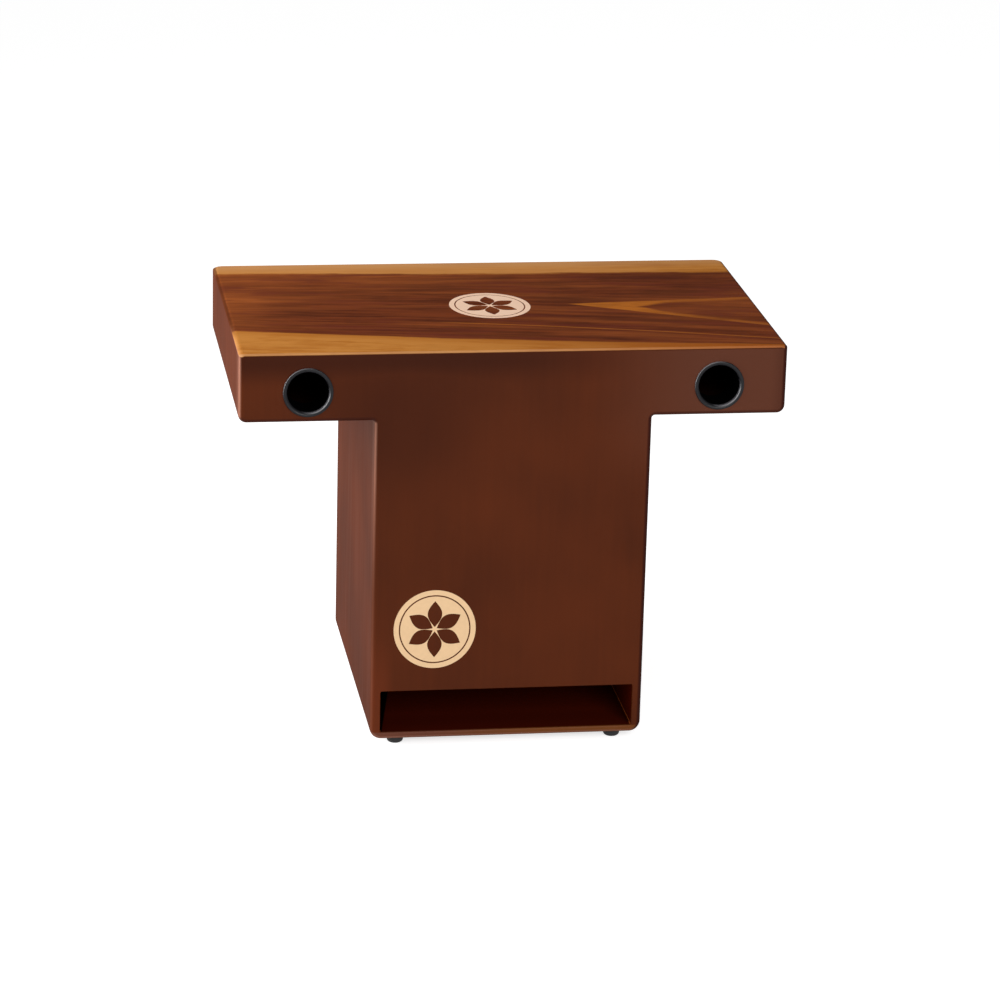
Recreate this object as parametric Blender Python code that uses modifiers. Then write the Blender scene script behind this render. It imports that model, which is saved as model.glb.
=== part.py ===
"""Tabletop cajon: a T-shaped wooden box drum that stands on a table or across the player's thighs.

A thin playing surface closes the top. The pedestal opens to the front through a bass slot,
each wing through a short port tube, and each wing holds a set of snare wires under the surface.
Metres, +Z up, front towards -Y, left at -X. The origin is on the floor under the middle.
"""
import math

import bmesh
import bpy

# Overall sizes of the box
WIDTH = 0.520
DEPTH = 0.320
BODY_HEIGHT = 0.388
WING_HEIGHT = 0.0675
PEDESTAL_WIDTH = 0.264
FOOT_HEIGHT = 0.007

# Sheet thicknesses, and the gap that glued faces keep
WALL = 0.0095
FLOOR = 0.0075
PLATE = 0.003
GAP = 0.0003

# Radii of the T's corners, and of the rounded edge round each outer face
PEDESTAL_CORNER = 0.011
WING_CORNER = 0.008
INNER_CORNER = 0.003
EDGE = 0.004
PLATE_EDGE = 0.0008

# Bass slot at the foot of the front panel
SLOT_HEIGHT = 0.042
SLOT_CORNER = 0.0015

# Port tubes in the wings: flange, tube and bore
PORT_X = 0.195
PORT_BELOW_TOP = 0.038
PORT_BORE = 0.0197
PORT_FLANGE = 0.0236
PORT_TUBE = 0.0214
PORT_LENGTH = 0.034
PORT_LIP = 0.002
PORT_STEPS = 32

# Feet and their screws
FOOT_RADIUS = 0.008
FOOT_FROM_SIDE = 0.026
FOOT_FROM_FACE = 0.015
FOOT_SCREW_LENGTH = 0.0105
SCREW_HEAD = 0.0031
SCREW_CROWN = 0.0025
SCREW_SHANK = 0.0015
SCREW_STEPS = 16

# Wooden strips inside
LINER = 0.012
CLEAT = 0.014
CLEAT_CHAMFER = 0.001
BATTEN_WIDTH = 0.034
BATTEN_THICKNESS = 0.008

# Snare wires: strands between two end plates, on a bar across the wing
STRANDS = 10
STRAND_PITCH = 0.0042
STRAND_RADIUS = 0.0009
STRAND_SIDES = 8
SNARE_PLATE = 0.001
SNARE_PLATE_WIDTH = 0.012
SNARE_EAR = 0.012
SNARE_TIP_WIDTH = 0.005
SNARE_START = 0.157
SNARE_LENGTH = 0.076
SOLDER = 0.0002
BAR_WIDTH = 0.018
BAR_HEIGHT = 0.016
SNARE_SCREW_HEAD = 0.0013
SNARE_SCREW_LENGTH = 0.010

# Places worked out from the sizes; the port flanges stand proud of the front
FRONT = (PORT_LIP - DEPTH) / 2
BACK = FRONT + DEPTH
MIDDLE = (FRONT + BACK) / 2
BASE = FOOT_HEIGHT
TOP = BASE + BODY_HEIGHT
SHELL_TOP = TOP - PLATE - GAP
WING_LOW = TOP - WING_HEIGHT
WING_FLOOR_TOP = WING_LOW + FLOOR
HALF_WIDTH = WIDTH / 2
HALF_PEDESTAL = PEDESTAL_WIDTH / 2
INSIDE_PEDESTAL = HALF_PEDESTAL - WALL
INSIDE_WING = HALF_WIDTH - WALL
INSIDE_FRONT = FRONT + WALL + GAP
INSIDE_BACK = BACK - WALL - GAP
FLOOR_TOP = BASE + FLOOR
SLOT_TOP = FLOOR_TOP + SLOT_HEIGHT
PORT_Z = TOP - PORT_BELOW_TOP

# Finishes: colour, roughness, metallic
WALNUT = ((0.16, 0.045, 0.017), 0.40, 0.0)
LACQUER = ((0.075, 0.022, 0.014), 0.35, 0.0)
BARE_WOOD = ((0.52, 0.33, 0.17), 0.75, 0.0)
BLACK_PLASTIC = ((0.012, 0.012, 0.014), 0.42, 0.0)
RUBBER = ((0.018, 0.018, 0.020), 0.80, 0.0)
STEEL = ((0.60, 0.60, 0.62), 0.32, 1.0)
ZINC = ((0.55, 0.54, 0.50), 0.38, 1.0)

WELD = 0.00001
ROUND_STEPS = 6
SMALL_STEPS = 2
EDGE_STEPS = 3
TURN_STEPS = 32
SIDES = (("left", -1), ("right", 1))
ENDS = (("front", -1), ("back", 1))

for old in list(bpy.data.objects):
    bpy.data.objects.remove(old)
parts = bpy.data.collections.new("tabletop_cajon")
cutters = bpy.data.collections.new("cutters")
for group in (parts, cutters):
    bpy.context.scene.collection.children.link(group)


# Helpers for materials, objects and Boolean cuts
def paint(obj, finish):
    colour, roughness, metallic = finish
    material = bpy.data.materials.new(obj.name)
    material.use_nodes = True
    shader = material.node_tree.nodes["Principled BSDF"]
    shader.inputs["Base Color"].default_value = (*colour, 1.0)
    shader.inputs["Roughness"].default_value = roughness
    shader.inputs["Metallic"].default_value = metallic
    obj.data.materials.clear()
    obj.data.materials.append(material)


def add(name, data, finish=None, location=(0, 0, 0), rotation=(0, 0, 0)):
    """A part when it has a finish, otherwise a cutter."""
    obj = bpy.data.objects.new(name, data)
    obj.location = location
    obj.rotation_euler = rotation
    if finish:
        parts.objects.link(obj)
        paint(obj, finish)
    else:
        cutters.objects.link(obj)
        obj.hide_render = True
        obj.display_type = "WIRE"
    return obj


def boolean(obj, tool, operation="DIFFERENCE"):
    modifier = obj.modifiers.new(tool.name, "BOOLEAN")
    modifier.object = tool
    modifier.operation = operation
    modifier.solver = "EXACT"


def edit(mesh, change):
    """Run change on the mesh's bmesh and write it back."""
    bm = bmesh.new()
    bm.from_mesh(mesh)
    change(bm)
    bm.to_mesh(mesh)
    bm.free()


def box(name, low, high, finish=None, chamfer=0.0):
    """An upright block between two corners, its edges chamfered."""
    size = [b - a for a, b in zip(low, high)]
    centre = [(a + b) / 2 for a, b in zip(low, high)]
    mesh = bpy.data.meshes.new(name)

    def build(bm):
        bmesh.ops.create_cube(bm, size=1.0)
        bmesh.ops.scale(bm, vec=size, verts=bm.verts)
        if chamfer:
            bmesh.ops.bevel(bm, geom=list(bm.edges), offset=chamfer, segments=1, affect="EDGES")

    edit(mesh, build)
    return add(name, mesh, finish, centre)


def rod(name, radius, low_z, high_z, x, y, sides=SCREW_STEPS):
    """An upright round cutter."""
    mesh = bpy.data.meshes.new(name)

    def build(bm):
        bmesh.ops.create_cone(bm, cap_ends=True, segments=sides, radius1=radius, radius2=radius,
                              depth=high_z - low_z)

    edit(mesh, build)
    return add(name, mesh, location=(x, y, (low_z + high_z) / 2))


def turned(name, profile, finish, location, closed=False, steps=TURN_STEPS, rotation=(0, 0, 0)):
    """A profile of (radius, height) points turned about its own Z; it runs down its outer side."""
    mesh = bpy.data.meshes.new(name)
    edges = [(i, i + 1) for i in range(len(profile) - 1)]
    if closed:
        edges.append((len(profile) - 1, 0))
    mesh.from_pydata([(r, 0, z) for r, z in profile], edges, [])
    obj = add(name, mesh, finish, location, rotation)
    screw = obj.modifiers.new("turn", "SCREW")
    screw.steps = screw.render_steps = steps
    screw.use_merge_vertices = True
    screw.merge_threshold = WELD
    screw.use_smooth_shade = True
    return obj


def arc(centre, radius, start, end, count=ROUND_STEPS):
    """Points on an arc between two angles in degrees."""
    angles = [math.radians(start + (end - start) * i / count) for i in range(count + 1)]
    return [(centre[0] + radius * math.cos(a), centre[1] + radius * math.sin(a)) for a in angles]


def rounded(corners):
    """The outline through corners (x, z, radius), each right angle turned by its arc."""
    points = []
    for i, (x, z, radius) in enumerate(corners):
        if not radius:
            points.append((x, z))
            continue
        before = corners[i - 1]
        after = corners[(i + 1) % len(corners)]
        step_in = [math.copysign(1, p - q) if abs(p - q) > WELD else 0 for p, q in zip((x, z), before)]
        step_out = [math.copysign(1, p - q) if abs(p - q) > WELD else 0 for p, q in zip(after, (x, z))]
        cx = x + radius * (step_out[0] - step_in[0])
        cz = z + radius * (step_out[1] - step_in[1])
        start = math.degrees(math.atan2(-step_out[1], -step_out[0]))
        turn = step_in[0] * step_out[1] - step_in[1] * step_out[0]
        points += arc((cx, cz), radius, start, start + 90 * turn)
    return points


def sheet(name, outline, near, far, finish=None):
    """An outline in X and Z, cut from a sheet that reaches from near to far in Y."""
    curve = bpy.data.curves.new(name, "CURVE")
    curve.dimensions = "2D"
    curve.fill_mode = "BOTH"
    curve.extrude = (far - near) / 2
    spline = curve.splines.new("POLY")
    spline.points.add(len(outline) - 1)
    for point, (x, z) in zip(spline.points, outline):
        point.co = (x, z, 0, 1)
    spline.use_cyclic_u = True
    return add(name, curve, finish, (0, (near + far) / 2, 0), (math.pi / 2, 0, 0))


def as_mesh(obj, finish=None):
    """The same sheet as a mesh, its caps welded and each left as one face."""
    graph = bpy.context.evaluated_depsgraph_get()
    name = obj.name
    mesh = bpy.data.meshes.new_from_object(obj.evaluated_get(graph))

    def clean(bm):
        bmesh.ops.remove_doubles(bm, verts=bm.verts, dist=WELD)
        heights = [v.co.z for v in bm.verts]
        for level in (min(heights), max(heights)):
            cap = [f for f in bm.faces if all(abs(v.co.z - level) < WELD for v in f.verts)]
            bmesh.ops.dissolve_faces(bm, faces=cap)

    edit(mesh, clean)
    place = obj.matrix_world.copy()
    bpy.data.objects.remove(obj)
    solid = add(name, mesh, finish)
    solid.name = name
    solid.matrix_world = place
    return solid


# Front and back panels: the T outline, rounded over round the outer face but not under the plate
T_CORNERS = (
    (-HALF_PEDESTAL, BASE, PEDESTAL_CORNER),
    (HALF_PEDESTAL, BASE, PEDESTAL_CORNER),
    (HALF_PEDESTAL, WING_LOW, INNER_CORNER),
    (HALF_WIDTH, WING_LOW, WING_CORNER),
    (HALF_WIDTH, SHELL_TOP, 0),
    (-HALF_WIDTH, SHELL_TOP, 0),
    (-HALF_WIDTH, WING_LOW, WING_CORNER),
    (-HALF_PEDESTAL, WING_LOW, INNER_CORNER),
)


def t_panel(name, near, far, outer):
    """A T-shaped panel; outer is the local height of the face that shows."""
    panel = as_mesh(sheet(name, rounded(T_CORNERS), near, far), LACQUER)

    def round_over(bm):
        rim = []
        for edge in bm.edges:
            on_face = all(abs(v.co.z - outer) < WELD for v in edge.verts)
            on_top = all(abs(v.co.y - SHELL_TOP) < WELD for v in edge.verts)
            if on_face and not on_top:
                rim.append(edge)
        bmesh.ops.bevel(bm, geom=rim, offset=EDGE, segments=EDGE_STEPS, profile=0.5, affect="EDGES")

    edit(panel.data, round_over)
    return panel


front_panel = t_panel("front_panel", FRONT, FRONT + WALL, WALL / 2)
t_panel("back_panel", BACK - WALL, BACK, -WALL / 2)

SLOT_CORNERS = (
    (-INSIDE_PEDESTAL, FLOOR_TOP, SLOT_CORNER),
    (INSIDE_PEDESTAL, FLOOR_TOP, SLOT_CORNER),
    (INSIDE_PEDESTAL, SLOT_TOP, SLOT_CORNER),
    (-INSIDE_PEDESTAL, SLOT_TOP, SLOT_CORNER),
)
slot_cutter = as_mesh(sheet("slot_cutter", rounded(SLOT_CORNERS), FRONT - WALL, FRONT + 2 * WALL))
boolean(front_panel, slot_cutter)

# Port tubes: a rounded flange against the front panel, and a tube through it
for side, sign in SIDES:
    hole = rod("port_cutter_" + side, PORT_TUBE + GAP, -WALL, 2 * WALL, 0, 0, sides=PORT_STEPS)
    hole.location = (sign * PORT_X, FRONT + WALL / 2, PORT_Z)
    hole.rotation_euler = (math.pi / 2, 0, 0)
    boolean(front_panel, hole)
    lip_radius = (PORT_LIP - GAP) / 2
    crown = arc((PORT_FLANGE - lip_radius, GAP + lip_radius), lip_radius, 0, 90, SMALL_STEPS)
    mouth = arc((PORT_BORE + PORT_LIP, 0), PORT_LIP, 90, 180, SMALL_STEPS)
    tube_profile = [
        *mouth[::-1],
        (PORT_BORE, PORT_LIP - PORT_LENGTH),
        (PORT_TUBE, PORT_LIP - PORT_LENGTH),
        (PORT_TUBE, GAP),
        (PORT_FLANGE, GAP),
        *crown,
    ]
    turned("port_tube_" + side, tube_profile[::-1], BLACK_PLASTIC, (sign * PORT_X, FRONT, PORT_Z),
           closed=True, steps=PORT_STEPS, rotation=(math.pi / 2, 0, 0))

# Bottom panel, glued between the pedestal sides
bottom_panel = box("bottom_panel", (GAP - INSIDE_PEDESTAL, INSIDE_FRONT, BASE),
                   (INSIDE_PEDESTAL - GAP, INSIDE_BACK, FLOOR_TOP), LACQUER)

# Pedestal sides, wing floors and wing ends, between the two T-shaped panels
for side, sign in SIDES:
    corner = arc((HALF_PEDESTAL - PEDESTAL_CORNER, BASE + PEDESTAL_CORNER), PEDESTAL_CORNER, -90, 0)
    bottom_corner = [(x, z) for x, z in corner if x > INSIDE_PEDESTAL]
    drop = math.sqrt(PEDESTAL_CORNER ** 2 - (WALL - PEDESTAL_CORNER) ** 2)
    side_outline = [
        (INSIDE_PEDESTAL, BASE + PEDESTAL_CORNER - drop),
        *bottom_corner,
        (HALF_PEDESTAL, WING_FLOOR_TOP),
        (INSIDE_PEDESTAL, WING_FLOOR_TOP),
    ]
    fillet_x = HALF_PEDESTAL + INNER_CORNER
    fillet = arc((fillet_x, WING_LOW - INNER_CORNER), INNER_CORNER, 90, 180)
    floor_outline = [
        (INSIDE_WING - GAP, WING_FLOOR_TOP),
        (INSIDE_WING - GAP, WING_LOW),
        *[(x, z) for x, z in fillet if x > HALF_PEDESTAL + GAP],
        (HALF_PEDESTAL + GAP, WING_LOW - INNER_CORNER / 2),
        (HALF_PEDESTAL + GAP, WING_FLOOR_TOP),
    ]
    end_outline = [
        (INSIDE_WING, WING_LOW),
        *arc((HALF_WIDTH - WING_CORNER, WING_LOW + WING_CORNER), WING_CORNER, -90, 0),
        (HALF_WIDTH, SHELL_TOP),
        (INSIDE_WING, SHELL_TOP),
    ]
    for part, outline in (("pedestal_side_", side_outline), ("wing_floor_", floor_outline),
                          ("wing_end_", end_outline)):
        mirrored = [(sign * x, z) for x, z in outline]
        sheet(part + side, mirrored, INSIDE_FRONT, INSIDE_BACK, LACQUER)

# Playing surface: a thin plate over the whole top, with small rounded corners
plate_mesh = bpy.data.meshes.new("playing_surface")


def build_plate(bm):
    bmesh.ops.create_cube(bm, size=1.0)
    bmesh.ops.scale(bm, vec=(WIDTH, DEPTH, PLATE), verts=bm.verts)
    upright = [e for e in bm.edges if abs(e.verts[0].co.z - e.verts[1].co.z) > WELD]
    bmesh.ops.bevel(bm, geom=upright, offset=EDGE, segments=EDGE_STEPS, profile=0.5, affect="EDGES")
    upper = [e for e in bm.edges if all(v.co.z > PLATE / 2 - WELD for v in e.verts)]
    bmesh.ops.bevel(bm, geom=upper, offset=PLATE_EDGE, segments=SMALL_STEPS, profile=0.5, affect="EDGES")


edit(plate_mesh, build_plate)
add("playing_surface", plate_mesh, WALNUT, (0, MIDDLE, TOP - PLATE / 2))

# Liners that the plate is glued to: front and back full length, the two ends between them
liner_low = SHELL_TOP - LINER
front_liner_face = INSIDE_FRONT + LINER
back_liner_face = INSIDE_BACK - LINER
liner_half = INSIDE_WING - GAP
box("top_liner_front", (-liner_half, INSIDE_FRONT, liner_low), (liner_half, front_liner_face, SHELL_TOP),
    BARE_WOOD, CLEAT_CHAMFER)
box("top_liner_back", (-liner_half, back_liner_face, liner_low), (liner_half, INSIDE_BACK, SHELL_TOP),
    BARE_WOOD, CLEAT_CHAMFER)
for side, sign in SIDES:
    xs = sorted((sign * liner_half, sign * (liner_half - LINER)))
    box("top_liner_" + side, (xs[0], front_liner_face + GAP, liner_low),
        (xs[1], back_liner_face - GAP, SHELL_TOP), BARE_WOOD, CLEAT_CHAMFER)

# Upright cleats in the pedestal's corners; the front pair stops above the bass slot
for end, toward in ENDS:
    for side, sign in SIDES:
        xs = sorted((sign * (INSIDE_PEDESTAL - GAP), sign * (INSIDE_PEDESTAL - GAP - CLEAT)))
        if toward < 0:
            ys = (INSIDE_FRONT, INSIDE_FRONT + CLEAT)
            cleat_low = SLOT_TOP + CLEAT / 2
        else:
            ys = (INSIDE_BACK - CLEAT, INSIDE_BACK)
            cleat_low = FLOOR_TOP + CLEAT + 2 * GAP
        box("corner_cleat_" + end + "_" + side, (xs[0], ys[0], cleat_low),
            (xs[1], ys[1], WING_FLOOR_TOP), BARE_WOOD, CLEAT_CHAMFER)

# Cleat along the foot of the back panel
cleat_half = INSIDE_PEDESTAL - GAP
box("floor_cleat_back", (-cleat_half, INSIDE_BACK - CLEAT, FLOOR_TOP + GAP),
    (cleat_half, INSIDE_BACK, FLOOR_TOP + GAP + CLEAT), BARE_WOOD, CLEAT_CHAMFER)

# Battens over the joint of pedestal side and wing floor
for side, sign in SIDES:
    joint_x = HALF_PEDESTAL - WALL / 2
    xs = sorted((sign * (joint_x - BATTEN_WIDTH / 2), sign * (joint_x + BATTEN_WIDTH / 2)))
    box("joint_batten_" + side, (xs[0], INSIDE_FRONT, WING_FLOOR_TOP + GAP),
        (xs[1], INSIDE_BACK, WING_FLOOR_TOP + GAP + BATTEN_THICKNESS), BARE_WOOD, CLEAT_CHAMFER)

# Cross recess of the screws, one cutter each over a shared mesh
RECESS_ARM = 0.0017
RECESS_END = 0.0003
RECESS_WAIST = 0.0005
RECESS_DEPTH = 0.0008
quarter = [(RECESS_ARM, -RECESS_END), (RECESS_ARM, RECESS_END), (RECESS_WAIST, RECESS_WAIST)]
cross = []
for turn in range(4):
    c, s = round(math.cos(turn * math.pi / 2)), round(math.sin(turn * math.pi / 2))
    cross += [(c * x - s * y, s * x + c * y) for x, y in quarter]
cross_cutter = as_mesh(sheet("cross_cutter", cross, -RECESS_DEPTH, RECESS_DEPTH))
cross_mesh = cross_cutter.data
bpy.data.objects.remove(cross_cutter)


def wood_screw(name, x, y, seat, head, length, up):
    """A pan-head screw with its head's flat side at height seat, its shank pointing up or down."""
    tip = length - 2 * SCREW_SHANK
    profile = [
        (0, length), (SCREW_SHANK / 3, length), (SCREW_SHANK, tip), (SCREW_SHANK, 0), (SCREW_HEAD, 0),
        (SCREW_HEAD, -head / 2), (SCREW_CROWN, -head), (0, -head),
    ]
    flip = 0 if up else math.pi
    screw = turned(name, profile, ZINC, (x, y, seat), steps=SCREW_STEPS,
                   rotation=(flip, 0, 0))
    recess = add(name + "_recess", cross_mesh, location=(x, y, seat - head if up else seat + head))
    boolean(screw, recess)


# Rubber feet with a recess for the screw, and their screws into the bottom panel
RECESS_CLEARANCE = 0.0006
RECESS_RADIUS = SCREW_HEAD + RECESS_CLEARANCE
FOOT_FLAT = 0.0055
FOOT_SEAT = 0.0034
FOOT_HEAD = 0.0019
foot_profile = [
    (FOOT_RADIUS, BASE - GAP),
    *arc((FOOT_FLAT, FOOT_SEAT), FOOT_RADIUS - FOOT_FLAT, 0, -60, EDGE_STEPS),
    (FOOT_FLAT, 0),
    (RECESS_RADIUS, 0),
    (RECESS_RADIUS, FOOT_SEAT - GAP),
    (SCREW_SHANK + GAP, FOOT_SEAT - GAP),
    (SCREW_SHANK + GAP, BASE - GAP),
]
for end, toward in ENDS:
    for side, sign in SIDES:
        x = sign * (HALF_PEDESTAL - FOOT_FROM_SIDE)
        y = FRONT + FOOT_FROM_FACE if toward < 0 else BACK - FOOT_FROM_FACE
        label = end + "_" + side
        turned("foot_" + label, foot_profile, RUBBER, (x, y, 0), closed=True)
        seat = FOOT_SEAT - 2 * GAP
        wood_screw("foot_screw_" + label, x, y, seat, FOOT_HEAD, FOOT_SCREW_LENGTH, True)
        pilot_top = seat + FOOT_SCREW_LENGTH + GAP
        boolean(bottom_panel, rod("foot_pilot_" + label, SCREW_SHANK + GAP, 0, pilot_top, x, y))

# Snare wires under each wing's playing surface, and the bar and screws that hold them
strand_z = SHELL_TOP - STRAND_RADIUS
plate_top = strand_z - STRAND_RADIUS + SOLDER
plate_low = plate_top - SNARE_PLATE
bar_top = plate_low - GAP
strands_half = (STRANDS - 1) * STRAND_PITCH / 2
tip_half = strands_half + STRAND_PITCH / 2
for side, sign in SIDES:
    bar_x = sorted((sign * (SNARE_START - BAR_WIDTH / 2), sign * (SNARE_START + BAR_WIDTH / 2)))
    snare_bar = box("snare_bar_" + side, (bar_x[0], front_liner_face + GAP, bar_top - BAR_HEIGHT),
                    (bar_x[1], back_liner_face - GAP, bar_top), BARE_WOOD, CLEAT_CHAMFER)
    plate_half = strands_half + SNARE_EAR
    plate_x = sorted((sign * (SNARE_START - SNARE_PLATE_WIDTH / 2),
                      sign * (SNARE_START + SNARE_PLATE_WIDTH / 2)))
    snare_set = box("snare_set_" + side, (plate_x[0], MIDDLE - plate_half, plate_low),
                    (plate_x[1], MIDDLE + plate_half, plate_top), STEEL)
    far_x = SNARE_START + SNARE_LENGTH
    tip_x = sorted((sign * (far_x - SNARE_TIP_WIDTH), sign * far_x))
    tip_plate = box("snare_tip_" + side, (tip_x[0], MIDDLE - tip_half, plate_low),
                    (tip_x[1], MIDDLE + tip_half, plate_top))
    strands_mesh = bpy.data.meshes.new("snare_strands_" + side)

    def build_strands(bm):
        reach = SNARE_LENGTH - 2 * SOLDER
        for i in range(STRANDS):
            made = bmesh.ops.create_cone(bm, cap_ends=True, segments=STRAND_SIDES,
                                         radius1=STRAND_RADIUS, radius2=STRAND_RADIUS, depth=reach)
            bmesh.ops.translate(bm, verts=made["verts"], vec=(i * STRAND_PITCH - strands_half, 0, 0))

    edit(strands_mesh, build_strands)
    strands = add("snare_strands_" + side, strands_mesh,
                  location=(sign * (SNARE_START + SNARE_LENGTH / 2), MIDDLE, strand_z),
                  rotation=(math.pi / 2, 0, math.pi / 2))
    boolean(snare_set, tip_plate, "UNION")
    boolean(snare_set, strands, "UNION")
    for end, toward in ENDS:
        x = sign * SNARE_START
        y = MIDDLE + toward * (plate_half - SNARE_EAR / 2)
        label = side + "_" + end
        seat = plate_top + GAP
        wood_screw("snare_screw_" + label, x, y, seat, SNARE_SCREW_HEAD, SNARE_SCREW_LENGTH, False)
        pilot = rod("snare_pilot_" + label, SCREW_SHANK + GAP, seat - SNARE_SCREW_LENGTH - GAP,
                    TOP, x, y)
        boolean(snare_set, pilot)
        boolean(snare_bar, pilot)
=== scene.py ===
"""Looks of the tabletop cajon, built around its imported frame.

Metres, +Z up, front towards -Y, left at -X. Each section makes one piece or group of like pieces,
in the order in which the cajon is put together.
"""
import math

import bmesh
import bpy
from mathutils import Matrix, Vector


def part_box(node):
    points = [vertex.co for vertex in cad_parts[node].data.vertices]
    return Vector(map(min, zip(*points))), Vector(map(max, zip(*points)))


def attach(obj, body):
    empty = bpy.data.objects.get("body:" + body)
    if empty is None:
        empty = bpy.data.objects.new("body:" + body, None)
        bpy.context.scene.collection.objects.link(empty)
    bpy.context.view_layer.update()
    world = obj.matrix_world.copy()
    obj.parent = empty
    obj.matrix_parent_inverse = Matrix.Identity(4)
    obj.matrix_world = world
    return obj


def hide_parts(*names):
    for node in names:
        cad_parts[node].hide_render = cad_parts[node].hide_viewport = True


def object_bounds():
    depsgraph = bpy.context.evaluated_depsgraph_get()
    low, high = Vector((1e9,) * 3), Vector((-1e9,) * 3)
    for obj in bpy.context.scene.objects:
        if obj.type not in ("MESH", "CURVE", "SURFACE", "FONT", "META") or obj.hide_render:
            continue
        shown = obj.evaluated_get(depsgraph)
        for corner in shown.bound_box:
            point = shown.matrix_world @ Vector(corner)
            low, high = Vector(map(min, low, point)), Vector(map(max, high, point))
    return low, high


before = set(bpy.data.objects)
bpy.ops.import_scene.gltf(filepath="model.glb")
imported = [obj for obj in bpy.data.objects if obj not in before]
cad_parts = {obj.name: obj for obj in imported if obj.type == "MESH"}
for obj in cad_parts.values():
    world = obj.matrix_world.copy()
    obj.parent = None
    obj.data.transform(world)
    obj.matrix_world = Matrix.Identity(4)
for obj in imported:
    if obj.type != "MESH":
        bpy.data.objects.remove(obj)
cad_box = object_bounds()

# Camera: 3.8 m in front of the cajon, a little to its left and well above it, with a long lens.
# It stands as upright as a tripod leaves it, with a degree or so of roll.
CAMERA_PLACE = (-0.5485, -3.5983, 1.3965)
CAMERA_TURN_DEGREES = (71.727, -1.461, -8.387)
LENS_MM = 139.51
SENSOR_MM = 36.0

camera_data = bpy.data.cameras.new("camera")
camera_data.lens = LENS_MM
camera_data.sensor_width = SENSOR_MM
camera = bpy.data.objects.new("camera", camera_data)
camera.location = CAMERA_PLACE
camera.rotation_euler = [math.radians(a) for a in CAMERA_TURN_DEGREES]
bpy.context.scene.collection.objects.link(camera)
bpy.context.scene.camera = camera

# Studio: a pale floor that runs to the horizon, three large soft lamps and a dim white room.
# The camera, gloss and glass see floor and room as white, and from below the floor can be looked through.
FLOOR_HALF = 30.0
FLOOR_COLOUR = (0.80, 0.80, 0.80, 1.0)
FLOOR_GLOW = 0.70
ROOM_LEVEL = 0.34
LAMPS = (
    # name, place, size, power
    ("lamp_left", (-1.35, 0.22, 0.72), 1.0, 23.0),
    ("lamp_low", (-1.60, -0.60, 0.30), 0.5, 3.0),
    ("lamp_front", (0.6, -2.2, 1.2), 1.1, 29.0),
)
LAMP_AIM = Vector((0.0, 0.0, 0.22))


class Wire:
    """A node's socket that takes part in sums: an expression on numbers adds its Math nodes."""

    def __init__(self, socket):
        self.socket = socket
        self.tree = socket.id_data

    def node(self, kind, settings=None, inputs=None, output=0):
        """Any other node: its type, its settings, then the values or links of its sockets."""
        made = self.tree.nodes.new("ShaderNode" + kind)
        for name, value in (settings or {}).items():
            setattr(made, name, value)
        for name, value in (inputs or {}).items():
            if isinstance(value, Wire):
                self.tree.links.new(value.socket, made.inputs[name])
            else:
                made.inputs[name].default_value = value
        return Wire(made.outputs[output])

    def math(self, operation, *values):
        return self.node("Math", {"operation": operation}, dict(enumerate(values)))

    def __add__(self, other):
        return self.math("ADD", self, other)

    __radd__ = __add__

    def __sub__(self, other):
        return self.math("SUBTRACT", self, other)

    def __rsub__(self, other):
        return self.math("SUBTRACT", other, self)

    def __mul__(self, other):
        return self.math("MULTIPLY", self, other)

    __rmul__ = __mul__

    def __truediv__(self, other):
        return self.math("DIVIDE", self, other)

    def __abs__(self):
        return self.math("ABSOLUTE", self)

    def larger(self, other):
        return self.math("MAXIMUM", self, other)

    def step(self, low, high):
        """0 below low, 1 above high and smooth between; low may be the larger one."""
        if low > high:
            return 1 - self.step(high, low)
        settings = {"interpolation_type": "SMOOTHSTEP"}
        return self.node("MapRange", settings, {"Value": self, "From Min": low, "From Max": high})

    def noise(self, scale, detail=2.0, roughness=0.5, stretch=(1, 1, 1)):
        """Noise from 0 to 1 at this point, in waves per metre, drawn out where stretch is small."""
        point = self.node("VectorMath", {"operation": "MULTIPLY"}, {0: self, 1: stretch})
        return self.node("TexNoise", None, {"Vector": point, "Scale": scale, "Detail": detail,
                                            "Roughness": roughness})

    def blend(self, first, second):
        """Colour first where this is 0, colour second where it is 1: each a Wire or (r, g, b)."""
        first, second = [c if isinstance(c, Wire) else (*c, 1.0) for c in (first, second)]
        # a Mix node's colours go into its sockets 6 and 7 and come out of its socket 2
        return self.node("Mix", {"data_type": "RGBA"}, {0: self, 6: first, 7: second}, 2)

    def split(self):
        """The three coordinates of a point."""
        return [self.node("SeparateXYZ", None, {0: self}, i) for i in range(3)]


def background_rays(tree):
    """1 for a ray that meets the background as the camera, a mirror or glass would, else 0."""
    rays = tree.nodes.new("ShaderNodeLightPath")
    names = ("Is Camera Ray", "Is Glossy Ray", "Is Transmission Ray")
    seen, mirrored, through = [Wire(rays.outputs[name]) for name in names]
    return seen.larger(mirrored.larger(through))


floor_mesh = bpy.data.meshes.new("floor")
floor_bm = bmesh.new()
bmesh.ops.create_grid(floor_bm, x_segments=2, y_segments=2, size=FLOOR_HALF)
floor_bm.to_mesh(floor_mesh)
floor_bm.free()
floor = bpy.data.objects.new("floor", floor_mesh)
bpy.context.scene.collection.objects.link(floor)

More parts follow.
